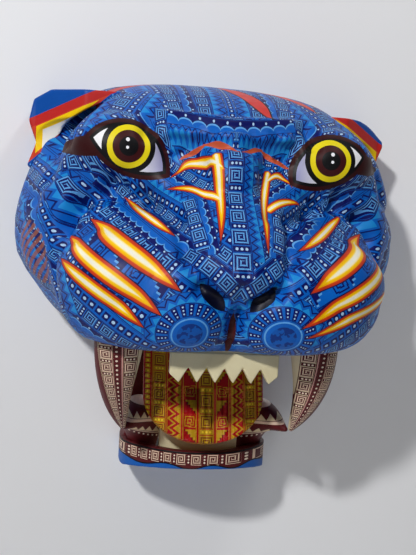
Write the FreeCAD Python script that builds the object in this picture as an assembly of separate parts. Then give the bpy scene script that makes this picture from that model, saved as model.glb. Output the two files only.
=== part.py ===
"""Carved and painted wild-cat wall mask, built from its separate pieces.

Frame: +X to the viewer's right, +Y into the wall, +Z up, millimetres.  The back rim lies
in the wall plane Y = 0.  Heights below are measured from a level just above the mouth, and
the pieces are moved down by NAIL_HEIGHT at the end, so that the origin is the nail point in
the hanging ring's eye.
"""
import FreeCAD, Part
import math
import os

from FreeCAD import Vector

# ---- driving dimensions -------------------------------------------------------------------
NAIL_HEIGHT = 140.0         # nail above the level that heights are measured from

HEAD_TOP = 172.0            # crown of the head
HEAD_BASE = -42.0           # flat palate under the muzzle
HEAD_SCALE_X = 1.0          # breadth of the carved head against the stations below
HEAD_SCALE_Y = 1.0          # depth of the carved head against the stations below

BOWL_CENTRE = (0.0, 14.0, 66.0)     # gouged-out back, behind brow and cheeks
BOWL_RADII = (128.0, 122.0, 78.0)
POCKET_CENTRE = (88.0, -30.0, 40.0)     # deeper gouging behind each cheek
POCKET_RADII = (52.0, 66.0, 46.0)
MUZZLE_BOWL_CENTRE = (0.0, -66.0, 20.0)
MUZZLE_BOWL_RADII = (96.0, 100.0, 36.0)

HANGER_BLOCK = (56.0, 24.0, 78.0)   # wood left solid behind the crown: width, depth, height
HANGER_BLOCK_LOW = 76.0

GLUE_GAP = 0.1              # clearance round every glued peg and tenon
RELIEF = 0.4                # lower fangs trimmed clear of tongue and incisors

EAR_TOP = 157.0
EAR_LOW = 85.0
EAR_REACH = 157.0 * HEAD_SCALE_X    # farthest from the middle plane
EAR_DEPTH = 46.0            # from the rim forwards
EAR_BACK = 3.0              # ear stands this far off the wall
EAR_PEG = (6.0, 26.0)       # diameter, length

TONGUE_WIDTH = 104.0
TONGUE_LENGTH = 95.0        # along its slope
TONGUE_THICK = 15.0
TONGUE_CROWN = 120.0        # radius of its rounded front, across
TONGUE_SLOPE = 19.0         # degrees forward
TONGUE_BACK = 63.0          # its back face from the wall, at the palate
TONGUE_PEG = (6.0, 28.0)
TONGUE_PEG_SPACING = 44.0

INCISOR_WIDTH = 84.0
INCISOR_DROP = 23.0         # below the palate, to the tips
INCISOR_NOTCH = 12.0        # depth of the notches between the tips
INCISOR_THICK = 8.0
INCISOR_FRONT = 163.0 * HEAD_SCALE_Y    # its front face from the wall
INCISOR_TENON = 6.0
INCISOR_TEETH = 6
INCISOR_PEG = (4.0, 12.0)

UPPER_FANG_SEAT = -22.0     # floor of the round socket under each pad
UPPER_FANG_ROOT = 19.0      # radius of the root in the socket
UPPER_FANG_AT = (79.0 * HEAD_SCALE_X, -132.0 * HEAD_SCALE_Y)
UPPER_FANG_PEG = (8.0, 28.0)

JAW_TOP = -139.0
JAW_BASE = -162.0
JAW_FLOOR = -150.0          # floor inside the lip
JAW_LIP = 7.0               # width of the lip
JAW_FRONT = 92.0
CHIN_RISE = 8.0             # lift of the underside at the front
JAW_BREADTH = 130.0
JAW_ARM = (18.0, 38.0)      # arm: breadth, depth
JAW_PEG = (8.0, 30.0)
JAW_PEG_SPACING = 18.0

LOWER_INCISOR_WIDTH = 68.0
LOWER_INCISOR_TOP = -118.0
LOWER_INCISOR_THICK = 7.0
LOWER_INCISOR_FRONT = 70.0
LOWER_TEETH = 6

LOWER_FANG_ROOT = (46.0, -46.0)
LOWER_FANG_PEG = (6.0, 20.0)

PLATE_THICK = 1.2           # steel hanging plate
PLATE_WIDTH = 14.0
PLATE_LOW = 88.0
RING_WIRE = 3.0
RING_WIDTH = 26.0           # over the wire
RING_HEIGHT = 22.0          # from hinge line to the far side of the wire
RING_PLAY = 0.08            # wire in its knuckle
HANGER_CLEAR = 1.0          # recess round plate and ring
SCREW = (3.5, 7.0, 16.0, 1.6)   # shank and head diameter, length, head height
SCREW_HEIGHTS = (95.0, 106.0)

# Carving stations of the head: height, then the half outline from the rim round to the
# middle plane, as (half breadth, depth) of rim, side, cheek, flank, pad or eye, nose side, middle.
STATIONS = (
    (HEAD_BASE, (92, 0), (98, 38), (98, 84), (96, 122), (64, 160), (24, 162), (0, 158)),
    (-37, (108, 0), (111, 46), (106, 88), (110, 124), (68, 178), (22, 180), (0, 172)),
    (-28, (124, 0), (126, 50), (118, 92), (120, 130), (70, 189), (20, 191), (0, 180)),
    (-10, (134, 0), (138, 60), (128, 96), (129, 132), (71, 196), (20, 198), (0, 188)),
    (20, (147, 0), (154, 72), (138, 106), (131, 134), (72, 191), (26, 204), (0, 211)),
    (50, (150, 0), (159, 78), (140, 110), (112, 134), (70, 164), (30, 182), (0, 191)),
    (78, (146, 0), (155, 74), (133, 110), (100, 124), (68, 133), (32, 154), (0, 164)),
    (108, (139, 0), (146, 70), (124, 112), (98, 130), (70, 137), (38, 130), (0, 140)),
    (126, (134, 0), (139, 62), (116, 104), (88, 123), (60, 133), (32, 138), (0, 140)),
    (142, (124, 0), (128, 52), (106, 90), (82, 108), (56, 119), (28, 124), (0, 126)),
    (156, (108, 0), (110, 40), (90, 72), (70, 88), (48, 97), (24, 101), (0, 103)),
    (166, (86, 0), (87, 26), (72, 47), (57, 60), (39, 67), (20, 71), (0, 72)),
    (HEAD_TOP, (60, 0), (60, 14), (49, 25), (38, 32), (26, 36), (13, 38), (0, 39)),
)
LEVELS_BETWEEN = 2          # levels of the carved surface from one station to the next
SAW_SPARE = 2.0             # wood sawn off to make the back flat

UP = Vector(0, 0, 1)
FORWARD = Vector(0, -1, 0)


# ---- helpers ------------------------------------------------------------------------------
def ellipsoid(centre, radii):
    """Ellipsoid of the three radii about a centre."""
    ball = Part.makeSphere(1.0)
    stretch = FreeCAD.Matrix()
    stretch.scale(*radii)
    shape = ball.transformGeometry(stretch)
    shape.translate(Vector(*centre))
    return shape


def block(low, high):
    """Box between two corners."""
    size = [b - a for a, b in zip(low, high)]
    return Part.makeBox(size[0], size[1], size[2], Vector(*low))


def mirrored(shape):
    """The same piece on the other side of the middle plane."""
    return shape.mirror(Vector(0, 0, 0), Vector(1, 0, 0))


def peg(foot, axis, size, gap=0.0):
    """Round peg, or with a gap the hole that takes it."""
    diameter, length = size
    axis = Vector(axis).normalize()
    start = Vector(foot) - axis * gap
    return Part.makeCylinder(diameter / 2 + gap, length + 2 * gap, start, axis)


def tapered_horn(path, radii):
    """Solid lofted through circles square to a path of points."""
    rings = []
    for index, point in enumerate(path):
        before = path[max(index - 1, 0)]
        after = path[min(index + 1, len(path) - 1)]
        heading = Vector(*after) - Vector(*before)
        circle = Part.makeCircle(radii[index], Vector(*point), heading)
        rings.append(Part.Wire(circle))
    return Part.makeLoft(rings, True)


def joined(shapes):
    """One solid from overlapping shapes."""
    return shapes[0].multiFuse(shapes[1:]).removeSplitter()


def save(name, shapes):
    """Write one node, moved so that the nail point is the origin."""
    solids = []
    for shape in shapes:
        moved = shape.copy()
        moved.translate(Vector(0, 0, -NAIL_HEIGHT))
        solids.extend(moved.Solids)
    out = solids[0] if len(solids) == 1 else Part.makeCompound(solids)
    valid = all(solid.isValid() for solid in solids)
    size = out.BoundBox
    print(f"{name:22s} solids {len(solids)} valid {valid} volume {out.Volume / 1000:8.1f} cm3 "
          f"x {size.XMin:7.1f} {size.XMax:7.1f} y {size.YMin:7.1f} {size.YMax:7.1f} "
          f"z {size.ZMin:7.1f} {size.ZMax:7.1f}")
    out.exportStep(f"parts/{name}.step")


# ---- head ---------------------------------------------------------------------------------
def slopes(heights, values):
    """Slope at each height that never lets the curve pass beyond its neighbours."""
    steps = [(v1 - v0) / (h1 - h0) for h0, h1, v0, v1 in
             zip(heights, heights[1:], values, values[1:])]
    inner = [0.0 if left * right <= 0 else 2 * left * right / (left + right)
             for left, right in zip(steps, steps[1:])]
    return [steps[0]] + inner + [steps[-1]]


def eased(heights, values):
    """Values at the stations and at even levels between them, on a smooth curve."""
    slope = slopes(heights, values)
    result = []
    for index in range(len(values) - 1):
        gap = heights[index + 1] - heights[index]
        for step in range(LEVELS_BETWEEN):
            t = step / LEVELS_BETWEEN
            result.append((2 * t**3 - 3 * t**2 + 1) * values[index]
                          + (t**3 - 2 * t**2 + t) * gap * slope[index]
                          + (3 * t**2 - 2 * t**3) * values[index + 1]
                          + (t**3 - t**2) * gap * slope[index + 1])
    return result + [values[-1]]


def level_wires():
    """Closed outlines of the head, from the palate to the crown."""
    heights = [station[0] for station in STATIONS]
    levels = eased(heights, heights)
    columns = []
    for column in range(1, len(STATIONS[0])):
        breadth = eased(heights, [station[column][0] * HEAD_SCALE_X for station in STATIONS])
        depth = eased(heights, [station[column][1] * HEAD_SCALE_Y for station in STATIONS])
        columns.append([Vector(x, -y, z) for x, y, z in zip(breadth, depth, levels)])
    wires = []
    for row in zip(*columns):
        points = list(row) + [Vector(-p.x, p.y, p.z) for p in reversed(row[:-1])]
        curve = Part.BSplineCurve()
        curve.interpolate(points)
        spare = Vector(0, SAW_SPARE, 0)
        back = Part.makePolygon([points[-1], points[-1] + spare, points[0] + spare, points[0]])
        wires.append(Part.Wire([curve.toShape()] + back.Edges))
    return wires


def carved_head():
    """Outside of the head as one solid, sawn flat at the wall, before it is gouged out."""
    stock = Part.makeLoft(level_wires(), True, True)
    return stock.cut(block((-400, 0, -400), (400, 100, 400)))


def hollow():
    """Everything gouged out behind the face, less the block left for the hanger."""
    pocket = ellipsoid(POCKET_CENTRE, POCKET_RADII)
    bowl = joined([ellipsoid(BOWL_CENTRE, BOWL_RADII), pocket, mirrored(pocket),
                   ellipsoid(MUZZLE_BOWL_CENTRE, MUZZLE_BOWL_RADII)])
    width, depth, height = HANGER_BLOCK
    keep = block((-width / 2, -depth, HANGER_BLOCK_LOW),
                 (width / 2, 200, HANGER_BLOCK_LOW + height))
    return bowl.cut(keep)


def head_shell(solid, cuts):
    """Head with its hollow and with the seats of all that is glued or screwed to it."""
    shell = solid.cut(hollow())
    for tool in cuts:
        shell = shell.cut(tool)
    return shell


# ---- ears ---------------------------------------------------------------------------------
def ear_outline():
    """Front outline of the right ear, a square cup with a folded top."""
    reach = EAR_REACH
    inner = EAR_REACH - 60
    return [(inner, EAR_TOP), (reach - 10, EAR_TOP), (reach - 2, EAR_TOP - 8),
            (reach, EAR_TOP - 26), (reach - 4, EAR_TOP - 44), (reach, EAR_LOW + 8),
            (reach - 10, EAR_LOW), (inner, EAR_LOW)]


def ear(head):
    """Right ear: cupped block whose inner side is fitted to the head."""
    corners = [Vector(x, -EAR_BACK, z) for x, z in ear_outline()]
    face = Part.Face(Part.makePolygon(corners + corners[:1]))
    body = face.extrude(FORWARD * (EAR_DEPTH - EAR_BACK))
    cup_height = EAR_TOP - EAR_LOW
    scoop = ellipsoid((EAR_REACH - 20, -EAR_DEPTH - 6, EAR_LOW + cup_height * 0.42),
                      (17, 34, cup_height * 0.26))
    body = body.cut(scoop)
    return max(body.cut(head).Solids, key=lambda solid: solid.Volume)


def ear_pegs(gap=0.0):
    """Two pegs that hold the right ear to the side of the head."""
    diameter, length = EAR_PEG
    depth = EAR_BACK + (EAR_DEPTH - EAR_BACK) * 0.32
    heights = (EAR_TOP - 12, EAR_LOW + 46)
    starts = (EAR_REACH - 40, EAR_REACH - 34)
    return [peg((start, -depth, z), (1, 0, 0), (diameter, length), gap)
            for start, z in zip(starts, heights)]


# ---- tongue -------------------------------------------------------------------------------
def tongue_body(grow=0.0):
    """Tongue in its sloping place, cut level at the palate."""
    half = TONGUE_WIDTH / 2 + grow
    straight = TONGUE_LENGTH * 0.56
    rounded = TONGUE_LENGTH - straight + grow
    top = 40.0
    sides = [Part.makeLine(Vector(half, 0, -straight), Vector(half, 0, top)),
             Part.makeLine(Vector(half, 0, top), Vector(-half, 0, top)),
             Part.makeLine(Vector(-half, 0, top), Vector(-half, 0, -straight))]
    if half > rounded:
        tip = Part.Ellipse(Vector(half, 0, -straight), Vector(0, 0, -straight - rounded),
                           Vector(0, 0, -straight))
    else:
        tip = Part.Ellipse(Vector(0, 0, -straight - rounded), Vector(half, 0, -straight),
                           Vector(0, 0, -straight))
    first = tip.parameter(Vector(half, 0, -straight))
    last = tip.parameter(Vector(-half, 0, -straight))
    arcs = [tip.toShape(first, last), tip.toShape(last, first + 2 * math.pi)]
    arc = min(arcs, key=lambda edge: edge.CenterOfMass.z)
    outline = Part.Face(Part.Wire(Part.__sortEdges__(sides + [arc])))
    thick = TONGUE_THICK + grow
    slab = outline.extrude(FORWARD * thick)
    crown = Part.makeCylinder(TONGUE_CROWN, 2 * TONGUE_LENGTH + 80,
                              Vector(0, TONGUE_CROWN - thick, -2 * TONGUE_LENGTH), UP)
    slab = slab.common(crown)
    slab.rotate(Vector(0, 0, 0), Vector(1, 0, 0), -TONGUE_SLOPE)
    slab.translate(Vector(0, -TONGUE_BACK, HEAD_BASE))
    return slab


def tongue():
    """Tongue, level with the palate at the top."""
    under = block((-200, -400, HEAD_BASE - 300), (200, 200, HEAD_BASE))
    return tongue_body().common(under)


def tongue_pegs(gap=0.0):
    """Two upright pegs from the palate into the tongue."""
    diameter, length = TONGUE_PEG
    depth = TONGUE_BACK + TONGUE_THICK * 0.58
    foot = HEAD_BASE - length / 2
    return [peg((side * TONGUE_PEG_SPACING / 2, -depth, foot), UP, (diameter, length), gap)
            for side in (-1, 1)]


# ---- incisor plates -----------------------------------------------------------------------
def toothed_outline(half, base, notch, tips, teeth):
    """Front outline of a plate with a saw-tooth edge from notch to tip heights."""
    pitch = 2 * half / teeth
    points = [(half, base), (-half, base)]
    for tooth in range(teeth):
        left = -half + tooth * pitch
        points.append((left, notch if tooth else (notch + tips) / 2))
        points.append((left + pitch / 2, tips))
    points.append((half, (notch + tips) / 2))
    return points


def plate(outline, front, thick):
    """Plate of an outline given in X and Z."""
    corners = [Vector(x, -front, z) for x, z in outline]
    face = Part.Face(Part.makePolygon(corners + corners[:1]))
    return face.extrude(FORWARD * -thick)


def upper_incisors():
    """Upper toothed plate with the tenon that enters the muzzle."""
    half = INCISOR_WIDTH / 2
    tips = HEAD_BASE - INCISOR_DROP
    outline = toothed_outline(half, HEAD_BASE, tips + INCISOR_NOTCH, tips, INCISOR_TEETH)
    teeth = plate(outline, INCISOR_FRONT, INCISOR_THICK)
    return joined([teeth, incisor_tenon()])


def incisor_tenon(gap=0.0):
    """Tenon of the upper plate, or with a gap the groove for it."""
    half = INCISOR_WIDTH / 2 - 4 + gap
    back = INCISOR_FRONT - INCISOR_THICK + 1 - gap
    front = INCISOR_FRONT - 1 + gap
    return block((-half, -front, HEAD_BASE - 1), (half, -back, HEAD_BASE + INCISOR_TENON + gap))


def lower_incisors():
    """Lower toothed plate, which stands on the floor of the jaw."""
    half = LOWER_INCISOR_WIDTH / 2
    notch = LOWER_INCISOR_TOP - 7
    outline = toothed_outline(half, JAW_FLOOR, notch, LOWER_INCISOR_TOP, LOWER_TEETH)
    return plate(outline, LOWER_INCISOR_FRONT, LOWER_INCISOR_THICK)


def incisor_pegs(gap=0.0):
    """Two pegs up through the upper plate's tenon into the muzzle."""
    diameter, length = INCISOR_PEG
    depth = INCISOR_FRONT - INCISOR_THICK / 2
    foot = HEAD_BASE + INCISOR_TENON - length / 2
    return [peg((side * INCISOR_WIDTH / 4, -depth, foot), UP, (diameter, length), gap)
            for side in (-1, 1)]


def lower_incisor_pegs(gap=0.0):
    """Two pegs from the jaw's floor into the lower plate."""
    diameter, length = INCISOR_PEG
    depth = LOWER_INCISOR_FRONT - LOWER_INCISOR_THICK / 2
    foot = JAW_FLOOR - length / 2
    return [peg((side * LOWER_INCISOR_WIDTH / 4, -depth, foot), UP, (diameter, length), gap)
            for side in (-1, 1)]


# ---- fangs --------------------------------------------------------------------------------
def upper_fang(grow=0.0):
    """Right upper fang, from its root in the pad to its tip, or with growth its socket."""
    x, y = UPPER_FANG_AT
    root = UPPER_FANG_ROOT
    drop = UPPER_FANG_SEAT
    path = [(x, y, drop), (x, y, drop - 22), (x, y + 4, drop - 52),
            (x - 4, y + 14, drop - 76), (x - 9, y + 22, drop - 92)]
    radii = [root, root, root * 0.74, root * 0.42, root * 0.1]
    return tapered_horn(path, [radius + grow for radius in radii])


def upper_fang_peg(gap=0.0):
    """Peg on the axis of the right upper fang."""
    x, y = UPPER_FANG_AT
    foot = UPPER_FANG_SEAT - UPPER_FANG_PEG[1] / 2
    return peg((x, y, foot), UP, UPPER_FANG_PEG, gap)


def lower_fang_horn(grow=0.0):
    """Right lower fang before it is trimmed, or with growth its seat in the jaw."""
    x, y = LOWER_FANG_ROOT
    path = [(x, y, JAW_FLOOR), (x, y - 2, JAW_FLOOR + 13), (x + 4, y - 12, JAW_FLOOR + 33),
            (x + 13, y - 36, JAW_FLOOR + 39), (x + 22, y - 60, JAW_FLOOR + 35)]
    radii = [11.0, 14.0, 17.0, 11.0, 1.8]
    return tapered_horn(path, [radius + grow for radius in radii])


def lower_fang():
    """Right lower fang: stands on the jaw behind the tongue and sweeps outwards."""
    half = LOWER_INCISOR_WIDTH / 2 + RELIEF
    back = LOWER_INCISOR_FRONT - LOWER_INCISOR_THICK - RELIEF
    front = LOWER_INCISOR_FRONT + RELIEF
    beside = block((-half, -front, JAW_FLOOR - 1), (half, -back, LOWER_INCISOR_TOP + RELIEF))
    return lower_fang_horn().cut(tongue_body(RELIEF)).cut(beside)


def lower_fang_peg(gap=0.0):
    """Peg from the jaw into the right lower fang."""
    x, y = LOWER_FANG_ROOT
    foot = JAW_FLOOR - LOWER_FANG_PEG[1] / 2
    return peg((x, y, foot), UP, LOWER_FANG_PEG, gap)


# ---- lower jaw ----------------------------------------------------------------------------
def jaw_outline(inset=0.0):
    """Plan of the jaw: back corner, lobe, front quarter and front middle, mirrored."""
    half = JAW_BREADTH / 2 - inset
    front = JAW_FRONT - inset
    side = [(half - 5, 0), (half, front * 0.34), (half - 2, front * 0.58),
            (half - 22, front * 0.84), (half * 0.3, front * 0.975)]
    right = [Vector(x, -y, 0) for x, y in side]
    left = [Vector(-p.x, p.y, 0) for p in reversed(right)]
    return right + [Vector(0, -front, 0)] + left


def jaw_slab(inset, low, high):
    """Slab of the jaw's plan between two heights."""
    points = jaw_outline(inset)
    curve = Part.BSplineCurve()
    curve.interpolate(points)
    back = Part.LineSegment(points[-1], points[0])
    face = Part.Face(Part.Wire([curve.toShape(), back.toShape()]))
    slab = face.extrude(UP * (high - low))
    slab.translate(Vector(0, 0, low))
    return slab


def jaw_arm(side):
    """Upright arm from the jaw to the palate, against the wall."""
    breadth, depth = JAW_ARM
    outer = JAW_BREADTH / 2 - 4
    low, high = sorted((side * outer, side * (outer - breadth)))
    return block((low, -depth, JAW_FLOOR), (high, 0, HEAD_BASE))


def chin_bevel():
    """Wedge that lifts the underside towards the front."""
    half = JAW_BREADTH
    start, end = JAW_FRONT * 0.55, JAW_FRONT * 1.2
    rise = CHIN_RISE * (end - start) / (JAW_FRONT - start)
    corners = [Vector(-half, -start, JAW_BASE), Vector(-half, -end, JAW_BASE),
               Vector(-half, -end, JAW_BASE + rise)]
    face = Part.Face(Part.makePolygon(corners + corners[:1]))
    return face.extrude(Vector(2 * half, 0, 0))


def lower_jaw(cuts):
    """Jaw tray with its lip and the two arms that carry it."""
    tray = jaw_slab(0.0, JAW_BASE, JAW_TOP)
    tray = tray.cut(jaw_slab(JAW_LIP, JAW_FLOOR, JAW_TOP + 1)).cut(chin_bevel())
    jaw = joined([tray, jaw_arm(1), jaw_arm(-1)])
    for tool in cuts:
        jaw = jaw.cut(tool)
    return jaw


def jaw_pegs(gap=0.0):
    """Two pegs in the top of each arm."""
    breadth, depth = JAW_ARM
    x = JAW_BREADTH / 2 - 4 - breadth / 2
    foot = HEAD_BASE - JAW_PEG[1] / 2
    return [peg((side * x, -depth / 2 + step * JAW_PEG_SPACING / 2, foot), UP, JAW_PEG, gap)
            for side in (-1, 1) for step in (-1, 1)]


# ---- hanger -------------------------------------------------------------------------------
def knuckle_radius():
    """Outside of the plate's loop round the ring's straight bar."""
    return RING_WIRE / 2 + RING_PLAY + PLATE_THICK


def plate_floor():
    """Depth of the recess floor under the hanging plate."""
    return knuckle_radius() * 2 + 0.4


def hinge_line():
    """Y and Z of the ring's hinge, above the plate."""
    return knuckle_radius() - plate_floor(), NAIL_HEIGHT + RING_WIRE * 1.5 - RING_HEIGHT


def hanger_recess():
    """Pocket in the back for plate, loop and ring, and the ring's swing."""
    z = hinge_line()[1]
    half = RING_WIDTH / 2 + HANGER_CLEAR
    return block((-half, -plate_floor(), PLATE_LOW - HANGER_CLEAR),
                 (half, 10, z + RING_HEIGHT + HANGER_CLEAR + RING_WIRE / 2))


def hanger_plate():
    """Steel plate folded round the ring's bar, with two screw holes."""
    y, z = hinge_line()
    half = PLATE_WIDTH / 2
    floor = -plate_floor()
    leaf = block((-half, floor, PLATE_LOW), (half, floor + PLATE_THICK, z))
    loop = Part.makeCylinder(knuckle_radius(), PLATE_WIDTH, Vector(-half, y, z), Vector(1, 0, 0))
    bore = Part.makeCylinder(RING_WIRE / 2 + RING_PLAY, PLATE_WIDTH + 2,
                             Vector(-half - 1, y, z), Vector(1, 0, 0))
    body = joined([leaf, loop]).cut(bore)
    for height in SCREW_HEIGHTS:
        hole = Part.makeCylinder(SCREW[0] / 2 + 0.2, PLATE_THICK + 2,
                                 Vector(0, floor - 1, height), Vector(0, 1, 0))
        body = body.cut(hole)
    return body


def hanger_ring():
    """D-shaped wire ring with its straight bar on the hinge line."""
    y, z = hinge_line()
    radius = RING_WIRE / 2
    half = RING_WIDTH / 2 - radius
    top = z + RING_HEIGHT - radius
    bend = 4.0
    shoulder = top - half
    corner = bend * (1 - math.sqrt(0.5))
    edges = [
        Part.makeLine(Vector(0, y, z), Vector(half - bend, y, z)),
        Part.Arc(Vector(half - bend, y, z), Vector(half - corner, y, z + corner),
                 Vector(half, y, z + bend)).toShape(),
        Part.makeLine(Vector(half, y, z + bend), Vector(half, y, shoulder)),
        Part.Arc(Vector(half, y, shoulder), Vector(0, y, top),
                 Vector(-half, y, shoulder)).toShape(),
        Part.makeLine(Vector(-half, y, shoulder), Vector(-half, y, z + bend)),
        Part.Arc(Vector(-half, y, z + bend), Vector(-half + corner, y, z + corner),
                 Vector(-half + bend, y, z)).toShape(),
        Part.makeLine(Vector(-half + bend, y, z), Vector(0, y, z)),
    ]
    section = Part.Wire(Part.makeCircle(radius, Vector(0, y, z), Vector(1, 0, 0)))
    return Part.Wire(edges).makePipeShell([section], True, True)


def hanger_screws():
    """Two pan-head wood screws through the plate."""
    shank, head, length, cap = SCREW
    face = -plate_floor() + PLATE_THICK
    screws = []
    for height in SCREW_HEIGHTS:
        body = Part.makeCylinder(shank / 2, length, Vector(0, face, height), FORWARD)
        top = Part.makeCylinder(head / 2, cap, Vector(0, face, height), Vector(0, 1, 0))
        screws.append(joined([body, top]))
    return screws


def screw_pilots():
    """Holes in the wood for the screws."""
    shank, length = SCREW[0], SCREW[2]
    face = -plate_floor() + PLATE_THICK
    return [Part.makeCylinder(shank / 2, length + 0.5, Vector(0, face, height), FORWARD)
            for height in SCREW_HEIGHTS]


# ---- build --------------------------------------------------------------------------------
def main():
    """Build every node and write its file."""
    os.makedirs("parts", exist_ok=True)
    solid = carved_head()
    ear_right = ear(solid)
    ear_holes = ear_pegs(GLUE_GAP)
    for hole in ear_holes:
        ear_right = ear_right.cut(hole)
    fang = upper_fang().cut(upper_fang_peg(GLUE_GAP))
    fang_low = lower_fang().cut(lower_fang_peg(GLUE_GAP))
    tongue_piece = tongue()
    for hole in tongue_pegs(GLUE_GAP):
        tongue_piece = tongue_piece.cut(hole)
    incisors = upper_incisors()
    for hole in incisor_pegs(GLUE_GAP):
        incisors = incisors.cut(hole)
    low_incisors = lower_incisors()
    for hole in lower_incisor_pegs(GLUE_GAP):
        low_incisors = low_incisors.cut(hole)

    right_cuts = ear_holes + [upper_fang(GLUE_GAP), upper_fang_peg(GLUE_GAP)]
    head_cuts = right_cuts + [mirrored(tool) for tool in right_cuts]
    head_cuts += tongue_pegs(GLUE_GAP) + incisor_pegs(GLUE_GAP) + [incisor_tenon(GLUE_GAP)]
    head_cuts += jaw_pegs(GLUE_GAP) + [hanger_recess()] + screw_pilots()
    jaw_cuts = jaw_pegs(GLUE_GAP) + lower_incisor_pegs(GLUE_GAP)
    for seat in (lower_fang_peg(GLUE_GAP), lower_fang_horn(GLUE_GAP)):
        jaw_cuts += [seat, mirrored(seat)]

    save("head_shell", [head_shell(solid, head_cuts)])
    save("right_ear", [ear_right])
    save("left_ear", [mirrored(ear_right)])
    save("ear_pegs", ear_pegs() + [mirrored(pin) for pin in ear_pegs()])
    save("tongue", [tongue_piece])
    save("tongue_pegs", tongue_pegs())
    save("upper_incisors", [incisors])
    save("upper_incisor_pegs", incisor_pegs())
    save("right_upper_fang", [fang])
    save("left_upper_fang", [mirrored(fang)])
    save("upper_fang_pegs", [upper_fang_peg(), mirrored(upper_fang_peg())])
    save("lower_jaw", [lower_jaw(jaw_cuts)])
    save("jaw_pegs", jaw_pegs())
    save("lower_incisors", [low_incisors])
    save("lower_incisor_pegs", lower_incisor_pegs())
    save("right_lower_fang", [fang_low])
    save("left_lower_fang", [mirrored(fang_low)])
    save("lower_fang_pegs", [lower_fang_peg(), mirrored(lower_fang_peg())])
    save("hanger_plate", [hanger_plate()])
    save("hanger_ring", [hanger_ring()])
    save("hanger_screws", hanger_screws())


main()
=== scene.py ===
"""Painted wild-cat wall mask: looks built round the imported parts.

Lengths in the classes are millimetres in the carver's frame: X to the viewer's right, Y into
the wall, Z up from the mouth line.  `Bench` turns them into the scene's metres.
"""

import logging
import math
from dataclasses import dataclass
from enum import Enum
from typing import Callable, Sequence

import bpy
import numpy as np
from mathutils import Matrix, Vector


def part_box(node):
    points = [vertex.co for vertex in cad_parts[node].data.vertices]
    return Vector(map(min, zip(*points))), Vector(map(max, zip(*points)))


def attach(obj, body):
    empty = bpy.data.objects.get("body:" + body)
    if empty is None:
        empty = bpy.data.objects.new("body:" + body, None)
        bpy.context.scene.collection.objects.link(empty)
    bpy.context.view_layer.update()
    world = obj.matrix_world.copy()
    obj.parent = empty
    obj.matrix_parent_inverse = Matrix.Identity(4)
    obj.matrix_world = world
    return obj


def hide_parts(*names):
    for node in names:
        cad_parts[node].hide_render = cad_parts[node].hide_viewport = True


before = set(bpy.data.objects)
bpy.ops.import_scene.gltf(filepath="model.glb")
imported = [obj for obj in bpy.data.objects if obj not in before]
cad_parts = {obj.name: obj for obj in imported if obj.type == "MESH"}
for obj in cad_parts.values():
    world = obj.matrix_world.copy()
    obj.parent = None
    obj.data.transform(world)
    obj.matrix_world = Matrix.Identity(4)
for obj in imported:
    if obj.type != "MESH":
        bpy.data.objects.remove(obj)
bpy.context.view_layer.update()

log = logging.getLogger("mask")

MM = 0.001
CROWN_OVER_MOUTH = 172.0            # crown of the head above the mouth line
MOUTH_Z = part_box("head_shell")[1].z / MM - CROWN_OVER_MOUTH
PAINT_CENTRE = (0.0, -60.0, 20.0)   # the brush work is laid out round this point
PAINT_RADIUS = 130.0

Rgb = tuple[float, float, float]
Point = tuple[float, float, float]


def rgb(red: int, green: int, blue: int) -> Rgb:
    """Linear colour of a paint named by its 0 to 255 mix."""
    def linear(level: int) -> float:
        part = level / 255
        return part / 12.92 if part <= 0.04045 else ((part + 0.055) / 1.055) ** 2.4
    return linear(red), linear(green), linear(blue)


def spot(x: float, y: float, z: float) -> Vector:
    """Scene point of a place in the carver's frame."""
    return Vector((x * MM, y * MM, (z + MOUTH_Z) * MM))


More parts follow.
